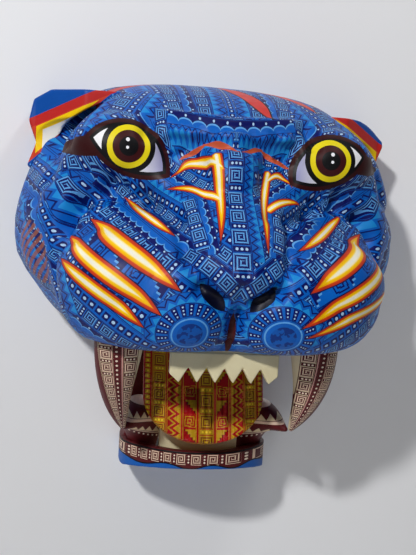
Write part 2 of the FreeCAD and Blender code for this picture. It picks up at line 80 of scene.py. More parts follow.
# ---- modelling ----------------------------------------------------------------------------
class Bench:
    """Steps of hand modelling that several pieces share."""

    @staticmethod
    def clear() -> None:
        """Deselect everything."""
        if bpy.context.object and bpy.context.object.mode != "OBJECT":
            bpy.ops.object.mode_set(mode="OBJECT")
        bpy.ops.object.select_all(action="DESELECT")

    @staticmethod
    def pick(piece: bpy.types.Object) -> None:
        """Select one piece and make it active."""
        Bench.clear()
        piece.select_set(True)
        bpy.context.view_layer.objects.active = piece

    @staticmethod
    def rough_copy(node: str, name: str) -> bpy.types.Object:
        """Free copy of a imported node, with its loose triangles merged.

        Args:
            node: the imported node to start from.
            name: the new piece's name.

        Returns:
            A mesh object in the same place.
        """
        piece = bpy.data.objects.new(name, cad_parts[node].data.copy())
        piece.data.name = name
        piece.data.materials.clear()
        bpy.context.scene.collection.objects.link(piece)
        Bench.pick(piece)
        bpy.ops.object.mode_set(mode="EDIT")
        bpy.ops.mesh.select_all(action="SELECT")
        bpy.ops.mesh.remove_doubles(threshold=1e-5)
        bpy.ops.object.mode_set(mode="OBJECT")
        return piece

    @staticmethod
    def lump(centre: Point, radii: Point, tilt: float = 0.0) -> bpy.types.Object:
        """Egg-shaped mass of wood.

        Args:
            centre: its middle, in the carver's frame.
            radii: its three half sizes.
            tilt: turn about X, in degrees.
        """
        Bench.clear()
        bpy.ops.mesh.primitive_uv_sphere_add(segments=48, ring_count=24, radius=1.0)
        ball = bpy.context.object
        ball.scale = [r * MM for r in radii]
        ball.rotation_euler = (math.radians(tilt), 0, 0)
        ball.location = spot(*centre)
        bpy.ops.object.transform_apply(location=True, rotation=True, scale=True)
        return ball

    @staticmethod
    def join(base: bpy.types.Object, others: Sequence[bpy.types.Object]) -> bpy.types.Object:
        """One object from several, under the first one's name."""
        Bench.clear()
        for other in others:
            other.select_set(True)
        base.select_set(True)
        bpy.context.view_layer.objects.active = base
        bpy.ops.object.join()
        return base

    @staticmethod
    def blend_wood(piece: bpy.types.Object, grain: float, passes: int) -> None:
        """Make one even skin of a piece and rub it down.

        Args:
            piece: the mesh.
            grain: size of the new faces, in millimetres.
            passes: how long it is rubbed down.
        """
        Bench.pick(piece)
        piece.data.remesh_voxel_size = grain * MM
        piece.data.remesh_voxel_adaptivity = 0.0
        bpy.ops.object.voxel_remesh()
        Bench.rub(piece, passes)
        bpy.ops.object.shade_smooth()

    @staticmethod
    def rub(piece: bpy.types.Object, passes: int) -> None:
        """Soften a piece's skin."""
        Bench.pick(piece)
        paper = piece.modifiers.new("rub_down", "SMOOTH")
        paper.factor = 0.5
        paper.iterations = passes
        bpy.ops.object.modifier_apply(modifier=paper.name)

    @staticmethod
    def carve(piece: bpy.types.Object, lift: Callable[[np.ndarray], np.ndarray]) -> None:
        """Move the skin along its normals.

        Args:
            piece: the mesh.
            lift: takes the points in the carver's frame, gives millimetres outwards.
        """
        count = len(piece.data.vertices)
        place = np.empty(count * 3, np.float32)
        normal = np.empty(count * 3, np.float32)
        piece.data.vertices.foreach_get("co", place)
        piece.data.vertices.foreach_get("normal", normal)
        place = place.reshape(-1, 3)
        normal = normal.reshape(-1, 3)
        points = place / MM - np.array((0.0, 0.0, MOUTH_Z))
        place += normal * (lift(points) * MM)[:, None]
        piece.data.vertices.foreach_set("co", place.ravel())
        piece.data.update()

    @staticmethod
    def move(piece: bpy.types.Object, to: Callable[[np.ndarray], np.ndarray]) -> None:
        """Move every point of a piece.

        Args:
            piece: the mesh.
            to: takes the points in the carver's frame and gives their new places.
        """
        place = np.empty(len(piece.data.vertices) * 3, np.float32)
        piece.data.vertices.foreach_get("co", place)
        shift = np.array((0.0, 0.0, MOUTH_Z))
        place = (to(place.reshape(-1, 3) / MM - shift) + shift) * MM
        piece.data.vertices.foreach_set("co", place.astype(np.float32).ravel())
        piece.data.update()

    @staticmethod
    def finish(piece: bpy.types.Object, body: str, slot: str, stands_for: Sequence[str]) -> None:
        """Hang a finished piece on its body and hide the imported nodes it stands for."""
        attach(piece, body)
        if stands_for:
            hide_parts(*stands_for)
        log.info("%s: %d faces, on %s", piece.name, len(piece.data.polygons), body)


@dataclass
class Gouge:
    """A stroke of the gouge, or of raised wood, between two points."""

    start: Point
    end: Point
    width: float
    lift: float
    mirror: bool = True

    def apply(self, points: np.ndarray) -> np.ndarray:
        """Millimetres outwards at each point."""
        place = points.copy()
        if self.mirror:
            place[:, 0] = np.abs(place[:, 0])
        start = np.array(self.start)
        run = np.array(self.end) - start
        along = np.clip((place - start) @ run / (run @ run), 0, 1)
        away = np.linalg.norm(place - start - along[:, None] * run, axis=1)
        return self.lift * np.exp(-(away / self.width) ** 2)


@dataclass
class Head:
    """The carved head with its hollow back."""

    grain: float = 2.2
    passes: int = 9
    strokes: tuple[Gouge, ...] = (
        Gouge((92, -132, 78), (66, -140, 72), 7, -9),            # between eye and pad
        Gouge((66, -140, 72), (44, -163, 60), 7, -9),
        Gouge((44, -163, 60), (40, -190, 36), 6, -8),            # wing of the nose and pad
        Gouge((40, -192, 34), (30, -200, 12), 6, -7),
        Gouge((116, -124, 66), (92, -132, 78), 7, -10),
        Gouge((127, -126, 50), (116, -124, 66), 7, -11),
        Gouge((134, -128, 22), (127, -126, 50), 8, -12),         # back edge of the pad
        Gouge((131, -128, -6), (134, -128, 22), 8, -11),
        Gouge((120, -128, -32), (131, -128, -6), 8, -9),
        Gouge((122, -150, 18), (98, -168, 30), 20, 3),
        Gouge((28, -202, 9), (12, -200, -2), 5.5, -9),           # nostril
        Gouge((0, -190, -8), (0, -172, -36), 4, -9, False),      # split of the upper lip
        Gouge((0, -206, 12), (0, -196, -4), 4, -3, False),
        Gouge((46, -140, 116), (0, -152, 114), 5, -5),           # under the brow plate
        Gouge((62, -128, 136), (66, -132, 120), 6, -6),
        Gouge((52, -126, 141), (0, -136, 136), 4, 3),            # upper rim of the plate
        Gouge((48, -136, 124), (0, -147, 122), 4, 4),            # lower rim of the plate
        Gouge((26, -146, 100), (24, -170, 62), 6, -4),           # side of the bridge
        Gouge((112, -112, 138), (128, -108, 116), 9, -5),        # brow ends
        Gouge((134, -98, 100), (142, -100, 84), 9, -6),          # temple and cheek
        Gouge((150, -66, 72), (150, -92, 66), 9, -6),
        Gouge((122, -62, 150), (138, -62, 136), 20, -10),
        Gouge((-142, -76, 110), (-128, -70, 146), 22, -17, False),
        Gouge((44, -138, 98), (52, -134, 124), 6, -5),
        Gouge((54, -142, 88), (80, -148, 80), 4, 2.5),           # lower lid
        Gouge((58, -140, 128), (84, -142, 134), 4, 2.5),
        Gouge((84, -142, 134), (112, -128, 124), 4, 2.5),
    )

    def masses(self) -> list[bpy.types.Object]:
        """Rounded masses that stand out of the rough carving."""
        lumps = [Bench.lump((0, -158, 24), (44, 46, 28), 12),
                 Bench.lump((0, -112, 84), (33, 52, 52), -18),
                 Bench.lump((0, -96, 137), (66, 36, 17), 8)]
        for side in (-1, 1):
            lumps += [Bench.lump((side * 66, -128, 8), (63, 67, 48)),
                      Bench.lump((side * 102, -64, 38), (58, 56, 58)),
                      Bench.lump((side * 84, -104, 109), (42, 35, 30))]
        return lumps

    def build(self, finishes: "Finishes") -> bpy.types.Object:
        """Carve and paint the head."""
        head = Bench.rough_copy("head_shell", "carved_head")
        Bench.join(head, self.masses())
        Bench.blend_wood(head, self.grain, self.passes)
        Bench.carve(head, lambda points: sum(stroke.apply(points) for stroke in self.strokes))
        Bench.rub(head, 2)
        finishes.dress(head, "head_paint")
        Bench.finish(head, "root", "head_paint", ["head_shell"])
        return head


@dataclass
class FittedPiece:
    """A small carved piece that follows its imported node."""

    node: str
    name: str
    slot: str
    grain: float
    passes: int
    finish: str = ""

    def build(self, finishes: "Finishes") -> bpy.types.Object:
        """Carve and paint the piece."""
        piece = Bench.rough_copy(self.node, self.name)
        Bench.blend_wood(piece, self.grain, self.passes)
        finishes.dress(piece, self.finish or self.slot)
        Bench.finish(piece, "root", self.slot, [self.node])
        return piece


@dataclass
class Ear(FittedPiece):
    """Cupped ear: its inner side stands forward, and its cup is shallow."""

    reach: float = 157.0            # farthest from the middle plane
    widening: float = 1.75          # of its breadth, from there inwards
    cup: tuple[Point, Point] = ((137, -52, 115), (17, 34, 18.7))    # middle and radii
    cup_edge: float = -46.0         # front of the ear round the cup
    cup_kept: float = 0.3           # share of the cup's depth
    lean_from: float = 152.0
    lean_over: float = 40.0         # breadth over which the front comes forward
    lean: float = 0.65
    corner_cut: bool = False

    def reshape(self, points: np.ndarray) -> np.ndarray:
        """New places, in the carver's frame."""
        x, y, z = np.abs(points[:, 0]), points[:, 1].copy(), points[:, 2].copy()
        cup = sum(((place - middle) / radius) ** 2
                  for place, middle, radius in zip((x, y, z), *self.cup))
        y = np.where(cup < 1.15, self.cup_edge + (y - self.cup_edge) * self.cup_kept, y)
        x = self.reach - (self.reach - x) * self.widening
        y *= 1 + self.lean * np.clip((self.lean_from - x) / self.lean_over, 0, 1)
        if self.corner_cut:
            z = np.minimum(z, 151 - np.clip(x - 120, 0, 60) ** 2 * 0.012)
        return np.stack([np.copysign(x, points[:, 0]), y, z], axis=1)

    def build(self, finishes: "Finishes") -> bpy.types.Object:
        """Carve and paint the ear."""
        piece = Bench.rough_copy(self.node, self.name)
        Bench.blend_wood(piece, self.grain, self.passes)
        Bench.move(piece, self.reshape)
        Bench.blend_wood(piece, self.grain, 6)
        finishes.dress(piece, self.slot)
        Bench.finish(piece, "root", self.slot, [self.node])
        return piece


# ---- brush work ---------------------------------------------------------------------------
SHEEN = 0.22            # how much a surface reflects, 0.5 being plain varnish
BRUSH_WEAR = 0.1        # how far the brush marks lighten and darken a colour
PAINT_FILM = 0.0006     # height of the paint's relief, in metres
FILM_STRENGTH = 0.25


class Num:
    """A number that varies over a surface; arithmetic on it adds Math nodes."""

    def __init__(self, brush: "Brush", socket: bpy.types.NodeSocket) -> None:
        """Wrap one output socket."""
        self.brush = brush
        self.socket = socket

    def do(self, operation: str, *others: "Num | float") -> "Num":
        """Result of one Math node."""
        return self.brush.math(operation, self, *others)

    def __add__(self, other: "Num | float") -> "Num":
        """Sum."""
        return self.do("ADD", other)

    __radd__ = __add__

    def __sub__(self, other: "Num | float") -> "Num":
        """Difference."""
        return self.do("SUBTRACT", other)

    def __rsub__(self, other: float) -> "Num":
        """Difference from a plain number."""
        return self.brush.math("SUBTRACT", other, self)

    def __mul__(self, other: "Num | float") -> "Num":
        """Product."""
        return self.do("MULTIPLY", other)

    __rmul__ = __mul__

    def __truediv__(self, other: "Num | float") -> "Num":
        """Quotient."""
        return self.do("DIVIDE", other)

    def __mod__(self, period: float) -> "Num":
        """Remainder that is never negative."""
        return self.do("FLOORED_MODULO", period)

    def __abs__(self) -> "Num":
        """Size without sign."""
        return self.do("ABSOLUTE")

    def below(self, other: "Num | float") -> "Num":
        """1 where this is less, else 0."""
        return self.do("LESS_THAN", other)

    def above(self, other: "Num | float") -> "Num":
        """1 where this is more, else 0."""
        return self.do("GREATER_THAN", other)

    def near(self, middle: "Num | float", reach: float) -> "Num":
        """1 within a reach of a value, else 0."""
        return self.do("COMPARE", middle, reach)

    def least(self, other: "Num | float") -> "Num":
        """The smaller of two."""
        return self.do("MINIMUM", other)

    def most(self, other: "Num | float") -> "Num":
        """The larger of two."""
        return self.do("MAXIMUM", other)

    def scaled(self, factor: "Num | float", offset: "Num | float") -> "Num":
        """This times a factor plus an offset, in one node."""
        return self.do("MULTIPLY_ADD", factor, offset)


class Brush:
    """One painted material: its nodes, and the shader they feed."""

    def __init__(self, name: str) -> None:
        """Start a material with a dull surface."""
        self.material = bpy.data.materials.new(name)
        self.material.use_nodes = True
        self.tree = self.material.node_tree
        self.shader = self.tree.nodes["Principled BSDF"]
        self.shader.inputs["Specular IOR Level"].default_value = SHEEN

    def node(self, kind: str, settings: dict[str, object] | None = None,
             inputs: dict[str | int, object] | None = None) -> bpy.types.Node:
        """Add a node.

        Args:
            kind: its type.
            settings: what is set on the node before its sockets.
            inputs: values or links of its sockets.
        """
        made = self.tree.nodes.new(kind)
        for key, value in (settings or {}).items():
            setattr(made, key, value)
        for key, value in (inputs or {}).items():
            self.feed(made.inputs[key], value)
        return made

    def feed(self, socket: bpy.types.NodeSocket, value: object) -> None:
        """Set or link one socket."""
        if isinstance(value, Num):
            value = value.socket
        if isinstance(value, bpy.types.NodeSocket):
            self.tree.links.new(value, socket)
        elif isinstance(value, tuple) and len(value) == 3 and socket.type == "RGBA":
            socket.default_value = (*value, 1.0)
        else:
            socket.default_value = value

    def math(self, operation: str, *values: "Num | float") -> Num:
        """One Math node."""
        made = self.node("ShaderNodeMath", {"operation": operation},
                         dict(enumerate(values)))
        return Num(self, made.outputs[0])

    def place(self) -> tuple[Num, Num, Num]:
        """Object coordinates in the carver's frame, in millimetres."""
        source = self.node("ShaderNodeTexCoord").outputs["Object"]
        parts = self.node("ShaderNodeSeparateXYZ", inputs={0: source}).outputs
        x, y, z = (Num(self, parts[index]) for index in range(3))
        return x * (1 / MM), y * (1 / MM), z.scaled(1 / MM, -MOUTH_Z)

    def mix(self, factor: "Num | float", under: object, over: object) -> bpy.types.NodeSocket:
        """One colour over another."""
        made = self.node("ShaderNodeMix", {"data_type": "RGBA"},
                         {0: factor, 6: under, 7: over})
        return made.outputs[2]

    def noise(self, scale: float, detail: float = 3.0, stretch: Point = (1, 1, 1)) -> Num:
        """Soft random mottling, 0 to 1."""
        source = self.node("ShaderNodeTexCoord").outputs["Object"]
        spread = self.node("ShaderNodeMapping", inputs={0: source, 3: stretch}).outputs[0]
        made = self.node("ShaderNodeTexNoise", inputs={"Vector": spread, "Scale": scale,
                                                       "Detail": detail})
        return Num(self, made.outputs["Fac"])

    def ramp(self, value: Num, stops: Sequence[tuple[float, Rgb]]) -> bpy.types.NodeSocket:
        """Colour from a value through stops."""
        made = self.node("ShaderNodeValToRGB", inputs={0: value})
        band = made.color_ramp
        while len(band.elements) < len(stops):
            band.elements.new(0.5)
        for element, (position, colour) in zip(band.elements, stops):
            element.position = position
            element.color = (*colour, 1.0)
        return made.outputs[0]

    def finish(self, colour: bpy.types.NodeSocket) -> bpy.types.Material:
        """Close the material: brushed colour, uneven gloss and shallow relief."""
        mottle = self.noise(55.0, 4.0).scaled(2 * BRUSH_WEAR, 1 - BRUSH_WEAR)
        shaded = self.node("ShaderNodeHueSaturation", inputs={"Value": mottle, "Color": colour})
        self.feed(self.shader.inputs["Base Color"], shaded.outputs[0])
        gloss = self.noise(140.0, 2.0)
        self.feed(self.shader.inputs["Roughness"], gloss.scaled(0.2, 0.36))
        grain = self.noise(420.0, 3.0) * 0.35
        height = grain + self.noise(60.0, 2.0, (1, 1, 0.25)) * 0.8
        bump = self.node("ShaderNodeBump", inputs={"Height": height, "Distance": PAINT_FILM,
                                                   "Strength": FILM_STRENGTH})
        self.feed(self.shader.inputs["Normal"], bump.outputs[0])
        return self.material


class Motif(Enum):
    """Kinds of painted strip."""

    FRET = 1        # square spirals with dots between
    TEETH = 2       # triangles against a zigzag
    WAVES = 3       # scallops with a dot in each
    DOTS = 4        # dashes and dots
    STEPS = 5       # spirals and stepped pyramids in turn
    BARS = 6        # dark bars with three dots
    PLAIN = 7       # nothing


@dataclass(frozen=True)
class Palette:
    """Paints of one set of strips."""

    dark: Rgb
    line: Rgb
    bright: Rgb
    accent: Rgb


FRET_PERIOD = 2.95      # from one square spiral to the next, in half widths of the strip
BLUES = Palette(dark=rgb(0, 12, 92), line=rgb(92, 160, 224), bright=rgb(170, 204, 238),
                accent=rgb(24, 134, 208))
FLAME_STOPS = ((0.0, rgb(238, 236, 226)), (0.2, rgb(246, 240, 205)), (0.36, rgb(250, 205, 0)),
               (0.62, rgb(240, 165, 0)), (0.70, rgb(205, 66, 20)), (1.0, rgb(180, 40, 18)))


@dataclass(frozen=True)
class Strip:
    """A painted strip along a bowed line of the layout."""

    motif: Motif
    start: tuple[float, float]
    end: tuple[float, float]
    half: float
    bow: float = 0.0
    flip: bool = False


@dataclass(frozen=True)
class Flame:
    """A lens-shaped stroke along a bowed line of the layout."""

    start: tuple[float, float]
    end: tuple[float, float]
    half: float
    bow: float = 0.0
    blunt: bool = False


@dataclass
class Layout:
    """Running record of the strips laid on one surface."""

    brush: Brush
    along: "Num | float" = 0.0
    across: "Num | float" = 0.0
    kind: "Num | float" = 0.0

    @staticmethod
    def local(u: Num, v: Num, start: tuple[float, float], end: tuple[float, float],
              bow: float) -> tuple[Num, Num, float]:
        """Distance along and across a bowed line, and its length."""
        run_u, run_v = end[0] - start[0], end[1] - start[1]
        length = math.hypot(run_u, run_v)
        c, s = run_u / length, run_v / length
        along = v.scaled(s, u.scaled(c, -start[0] * c - start[1] * s))
        across = v.scaled(c, u.scaled(-s, start[0] * s - start[1] * c))
        if bow:
            rise = along * along.scaled(-1.0, length)
            across = rise.scaled(-4 * bow / length ** 2, across)
        return along, across, length

    def add(self, u: Num, v: Num, strip: Strip) -> None:
        """Lay one strip."""
        along, across, length = self.local(u, v, strip.start, strip.end, strip.bow)
        inside = across.near(0.0, strip.half * 1.16) * along.near(length / 2, length / 2)
        turned = -1.0 if strip.flip else 1.0
        self.gather(inside, along * (1 / strip.half), across * (turned / strip.half),
                    strip.motif)

    def gather(self, inside: Num, along: Num, across: Num, motif: "Motif | Num") -> None:
        """Put a strip's own coordinates where it covers bare surface."""
        if isinstance(self.kind, Num):
            inside = inside * self.kind.below(0.5)
        self.along = along.scaled(inside, self.along)
        self.across = across.scaled(inside, self.across)
        value = float(motif.value) if isinstance(motif, Motif) else motif
        self.kind = inside.scaled(value, self.kind)

    def root(self, square: Num) -> Num:
        """Square root."""
        return self.brush.math("SQRT", square)

    def coil(self, ring: Num) -> Num:
        """Winding of a square spiral, 0 to 1 from line to line."""
        cell = self.along % FRET_PERIOD - 1.0
        turn = self.brush.math("ARCTAN2", self.across, cell).scaled(2 / math.pi, 0.5)
        return (ring.scaled(2.6, 0.42) - self.brush.math("FLOOR", turn) * 0.25) % 1.0

    def fret(self, inside: Num) -> dict[str, Num]:
        """Square spirals with dots between."""
        t = self.across
        cell = self.along % FRET_PERIOD - 1.0
        ring = abs(cell).most(abs(t))
        square = cell.below(1.0) * inside
        gap = cell.near(1.48, 0.36) * inside
        row = (t + 0.275) % 0.55 - 0.275
        dots = self.root((cell - 1.48) * (cell - 1.48) + row * row).below(0.17)
        return {"dark": (square + gap).least(1.0),
                "line": self.coil(ring).below(0.42) * square * ring.above(0.13),
                "bright": dots * abs(t).below(0.82) * gap}

    def teeth(self, inside: Num) -> dict[str, Num]:
        """Triangles against a zigzag."""
        t = self.across
        wave = abs(self.along % 1.5 - 0.75) * (1 / 0.75)
        zigzag = (t - wave.scaled(-1.1, 0.95)).near(0.0, 0.2) * t.above(-0.55)
        return {"dark": zigzag * inside, "accent": (t + 1.0).below(1.15 - wave * 1.15) * inside}

    def waves(self, inside: Num) -> dict[str, Num]:
        """Scallops with a dot in each."""
        t = self.across
        hump = (self.along % 2.2) * (1 / 1.1) - 1.0
        over = t - (self.root((1.0 - hump * hump).most(0.0)) * 0.75 - 0.55)
        knob = self.root(hump * hump * 1.2 + (t - 0.62) * (t - 0.62))
        return {"dark": over.above(0.0) * inside, "line": over.near(0.0, 0.12) * inside,
                "bright": knob.below(0.17)}

    def dots(self, inside: Num) -> dict[str, Num]:
        """Dashes, each with a dot."""
        t = self.across
        step = self.along % 1.3 - 0.65
        return {"dark": abs(step).below(0.5) * abs(t).below(0.62) * inside,
                "bright": self.root(step * step + t * t).below(0.27)}

    def steps(self, inside: Num) -> dict[str, Num]:
        """Spirals and stepped pyramids in turn."""
        t = self.across
        turn = self.along % 4.6 - 1.0
        ring = abs(turn).most(abs(t))
        box = turn.below(1.0) * inside * ring.above(0.1) * self.coil(ring).below(0.4)
        stair = self.brush.math("FLOOR", (turn - 1.2) * 2.2) * (1 / 2.2)
        flight = turn.above(1.25) * turn.below(3.3) * inside
        climb = t.below(stair.scaled(0.9, -0.9)) * flight
        return {"dark": (box + climb).least(1.0),
                "line": t.near(stair.scaled(0.9, -0.84), 0.1) * flight}

    def bars(self, inside: Num) -> dict[str, Num]:
        """Dark bars with three dots."""
        t = self.across
        step = self.along % 1.3 - 0.65
        row = (t + 0.3) % 0.6 - 0.3
        trio = self.root(step * step + row * row).below(0.15)
        return {"dark": abs(step).below(0.42) * inside, "bright": trio * abs(t).below(0.85)}

    def painted(self, base: "bpy.types.NodeSocket | Rgb", paint: Palette) -> bpy.types.NodeSocket:
        """Colour of the strips over a base."""
        inside = abs(self.across).below(1.0)
        drawn = {Motif.FRET: self.fret(inside), Motif.TEETH: self.teeth(inside),
                 Motif.WAVES: self.waves(inside), Motif.DOTS: self.dots(inside),
                 Motif.STEPS: self.steps(inside), Motif.BARS: self.bars(inside)}
        rail = abs(self.across).near(1.1, 0.055) * self.kind.above(0.5)
        colour = base
        for name in ("dark", "accent", "line", "bright"):
            cover = rail if name == "dark" else None
            for motif, masks in drawn.items():
                if name in masks:
                    mask = masks[name] * self.kind.near(float(motif.value), 0.1)
                    cover = mask if cover is None else cover.most(mask)
            colour = self.brush.mix(cover, colour, getattr(paint, name))
        return colour


RED_STROKE = rgb(205, 48, 42)
EAR_RED = rgb(190, 38, 34)
MAROON = rgb(72, 18, 20)
BLACK = rgb(8, 8, 12)
BARE_WOOD = rgb(176, 128, 78)

# Layout of the head, by direction from PAINT_CENTRE: right and up, in millimetres on a
# sphere of PAINT_RADIUS.  Both halves carry these strips.
PAIRED_STRIPS = (
    Strip(Motif.FRET, (42, 62), (27, 16), 5.2),
    Strip(Motif.WAVES, (30, 64), (19, 14), 4.0, flip=True),
    Strip(Motif.FRET, (40, 14), (1, -14), 5.0, bow=-3),
    Strip(Motif.WAVES, (0, 123), (56, 129), 5.4, bow=-1),
    Strip(Motif.TEETH, (2, 109), (56, 118), 3.4, bow=2),
    Strip(Motif.FRET, (62, 136), (64, 102), 4.8),
    Strip(Motif.DOTS, (0, 134), (0, 225), 3.8),
    Strip(Motif.TEETH, (11, 134), (13, 225), 5.4),
    Strip(Motif.FRET, (24, 134), (30, 225), 5.6),
    Strip(Motif.WAVES, (37, 134), (48, 215), 5.0),
    Strip(Motif.FRET, (50, 138), (66, 205), 5.0),
    Strip(Motif.TEETH, (73, 128), (62, 160), 5.4),
    Strip(Motif.DOTS, (88, 128), (74, 168), 4.4),
    Strip(Motif.FRET, (103, 120), (88, 160), 6.2),
    Strip(Motif.TEETH, (119, 110), (106, 150), 6.0),
    Strip(Motif.DOTS, (131, 104), (122, 134), 4.0),
    Strip(Motif.FRET, (152, 80), (98, 83), 5.4, bow=-2),
    Strip(Motif.FRET, (143, 70), (126, 34), 6.0),
    Strip(Motif.TEETH, (156, 66), (138, 27), 6.0),
    Strip(Motif.DOTS, (168, 60), (149, 20), 4.6),
    Strip(Motif.WAVES, (179, 54), (158, 6), 5.4),
    Strip(Motif.TEETH, (192, 48), (172, -8), 6.0),
    Strip(Motif.DOTS, (131, 71), (117, 48), 4.2),
    Strip(Motif.WAVES, (121, 74), (106, 56), 4.4),
    Strip(Motif.FRET, (110, 76), (95, 60), 5.0),
    Strip(Motif.DOTS, (97, 79), (82, 62), 4.0),
    Strip(Motif.FRET, (88, 71), (53, 42), 5.0),
    Strip(Motif.WAVES, (110, 56), (49, 14), 3.8),
    Strip(Motif.FRET, (114, 50), (43, 1), 5.8),
    Strip(Motif.STEPS, (124, 29), (47, -13), 6.4),
    Strip(Motif.DOTS, (122, 9), (58, -29), 4.4),
    Strip(Motif.TEETH, (132, 20), (110, -36), 5.0),
    Strip(Motif.FRET, (146, 8), (120, -44), 5.6),
    Strip(Motif.DOTS, (160, -4), (138, -48), 4.4),
)
BRIDGE_STRIPS = (
    Strip(Motif.FRET, (-1, 104), (-1, 0), 6.0),
    Strip(Motif.TEETH, (11, 104), (10, 10), 4.0, flip=True),
)
FLAMES = (
    Flame((-106, 68), (-49, 27), 3.6, -1),
    Flame((-120, 38), (-39, -11), 6.0, 2),
    Flame((-134, 22), (-49, -26), 5.7, 3),
    Flame((-126, 3), (-59, -35), 4.8, 3),
    Flame((117, 59), (47, 20), 3.8, 1),
    Flame((125, 38), (47, -9), 5.8, -1),
    Flame((148, 20), (41, -31), 5.2, -3),
    Flame((150, -6), (46, -38), 4.2, -3),
    Flame((-17, 92), (-60, 86), 5.6, -14, True),
    Flame((-17, 98), (-15, 23), 4.6, 2, True),
    Flame((-16, 63), (-63, 75), 4.6, -5, True),
    Flame((38, 92), (62, 84), 4.4, 10, True),
    Flame((37, 97), (18, 16), 4.2, -2, True),
    Flame((32, 58), (74, 70), 4.2, 4, True),
)
RED_STROKES = (
    Flame((0, 214), (36, 133), 8.5, 4),
    Flame((50, 216), (90, 150), 7.0, 4),
    Flame((-138, 128), (-72, 214), 6.5, 8),
    Flame((138, 128), (72, 214), 5.0, -8),
)
BROW_LINES = (
    Flame((-52, 106), (-24, 114), 1.6, 2),
    Flame((-28, 115), (4, 100), 1.6, 1),
    Flame((4, 100), (30, 115), 1.6, 1),
    Flame((26, 114), (62, 104), 1.6, 2),
)


@dataclass
class HeadPaint:
    """Brush work of the head."""

    eye: tuple[float, float] = (80.0, 110.0)
    rosette: tuple[float, float] = (31.0, -39.0)
    hollows: tuple[tuple[Point, Point], ...] = (
        ((0, 14, 66), (128, 122, 78)), ((88, -30, 40), (52, 66, 46)),
        ((0, -66, 20), (96, 100, 36)))

    @staticmethod
    def spread(brush: Brush, x: Num, y: Num, z: Num) -> tuple[Num, Num]:
        """Layout place of a point."""
        ahead = y.scaled(-1.0, PAINT_CENTRE[1])
        rise = z - PAINT_CENTRE[2]
        aside = brush.math("SQRT", rise.scaled(rise, x * x)).most(0.01)
        scale = brush.math("ARCTAN2", aside, ahead) * PAINT_RADIUS / aside
        return x * scale, rise * scale

    @staticmethod
    def nearest(u: Num, v: Num, flames: Sequence[Flame]) -> Num:
        """How near the middle of a stroke a place is: 0 on its spine, 1 at its edge."""
        least = None
        for flame in flames:
            along, across, length = Layout.local(u, v, flame.start, flame.end, flame.bow)
            if flame.blunt:
                part = (along * (1 / length)).most(along * (-1 / flame.half))
            else:
                part = abs(along.scaled(2 / length, -1.0))
            taper = part * part
            reach = abs(across).scaled(1 / flame.half, taper * part)
            least = reach if least is None else least.least(reach)
        return least

    def eyes(self, brush: Brush, x: Num, y: Num, z: Num,
             colour: bpy.types.NodeSocket) -> bpy.types.NodeSocket:
        """Paint both eyes over a colour."""
        out = abs(x) - self.eye[0]
        rise = z - self.eye[1]

        def away(centre: tuple[float, float]) -> Num:
            du, dv = out - centre[0], rise - centre[1]
            return brush.math("SQRT", du.scaled(du, dv * dv))

        radius = away((0.0, 0.0))
        inset = (33.1 - away((3.5, -15.0))).least(50.0 - away((-14.2, 28.8)))
        front = y.below(-80.0)
        tail = self.nearest(out, rise, (Flame((24, -1), (54, -3), 8.0, 0, True),))
        rim = inset.above(-3.4).most(tail.below(1.0) * out.above(20.0)) * front
        colour = brush.mix(rim, colour, rgb(50, 8, 10))
        colour = brush.mix(inset.above(0.0) * front, colour, BLACK)
        shade = out.scaled(-0.05, -0.3).most(0.0).least(1.0)
        white = brush.mix(shade, rgb(238, 238, 242), rgb(150, 150, 190))
        colour = brush.mix(inset.above(2.6) * radius.above(20.6) * front, colour, white)
        colour = brush.mix(radius.below(16.6) * front, colour, rgb(235, 215, 20))
        colour = brush.mix(radius.below(12.4) * front, colour, rgb(60, 12, 14))
        colour = brush.mix(radius.below(7.4) * front, colour, BLACK)
        glint = away((1.0, 5.0)).below(1.5).most(away((1.0, -1.0)).below(1.2)) * front
        return brush.mix(glint, colour, rgb(245, 245, 250))

    @staticmethod
    def fill(brush: Brush, layout: Layout, side: Num, v: Num) -> None:
        """Cover what is still bare with narrow rows, slanting on the face, fanned above it."""
        fan = v.above(104.0)
        slant = v.scaled(0.82, side * -0.57)
        spoke = brush.math("ARCTAN2", side, v + 40.0) * 190.0
        across = spoke * fan + slant * (1.0 - fan)
        along = v * fan + side.scaled(0.82, v * 0.57) * (1.0 - fan)
        row = across % 44.0
        first, second, third = row.below(12.0), row.below(20.0), row.below(32.0)
        middle = 38.0 - 12.0 * third - 11.0 * second - 10.0 * first
        kind = float(Motif.WAVES.value) - third + 2.0 * second - 3.0 * first
        layout.gather(abs(side).above(-1.0), along * (1 / 4.6), (row - middle) * (1 / 4.6), kind)

    def rings(self, brush: Brush, layout: Layout, side: Num, v: Num) -> Num:
        """Lay the rings of both rosettes; gives the distance from a rosette's middle."""
        du, dv = side - self.rosette[0], v - self.rosette[1]
        radius = brush.math("SQRT", du.scaled(du, dv * dv))
        turn = brush.math("ARCTAN2", dv, du)
        layout.gather(radius.near(17.0, 4.2), turn * 4.6, (radius - 17.0) * (1 / 3.6), Motif.BARS)
        layout.gather(radius.near(24.5, 3.7) * v.above(-46), turn * 5.4,
                      (radius - 24.5) * (1 / 3.1), Motif.TEETH)
        layout.gather(radius.below(13.0), side * 0.0, v * 0.0 + 3.0, Motif.PLAIN)
        return radius

    def bare_back(self, brush: Brush, x: Num, y: Num, z: Num,
                  colour: bpy.types.NodeSocket) -> bpy.types.NodeSocket:
        """Leave the back rim and the gouged hollows without paint."""
        bare = y.above(-0.8)
        for centre, radii in self.hollows:
            dx = (abs(x) - centre[0]) * (1 / radii[0])
            dy = (y - centre[1]) * (1 / radii[1])
            dz = (z - centre[2]) * (1 / radii[2])
            bare = bare.most(dx.scaled(dx, dy.scaled(dy, dz * dz)).below(1.04))
        grain = brush.noise(40.0, 4.0, (1, 1, 0.15))
        return brush.mix(bare, colour, brush.mix(grain, rgb(150, 104, 60), BARE_WOOD))

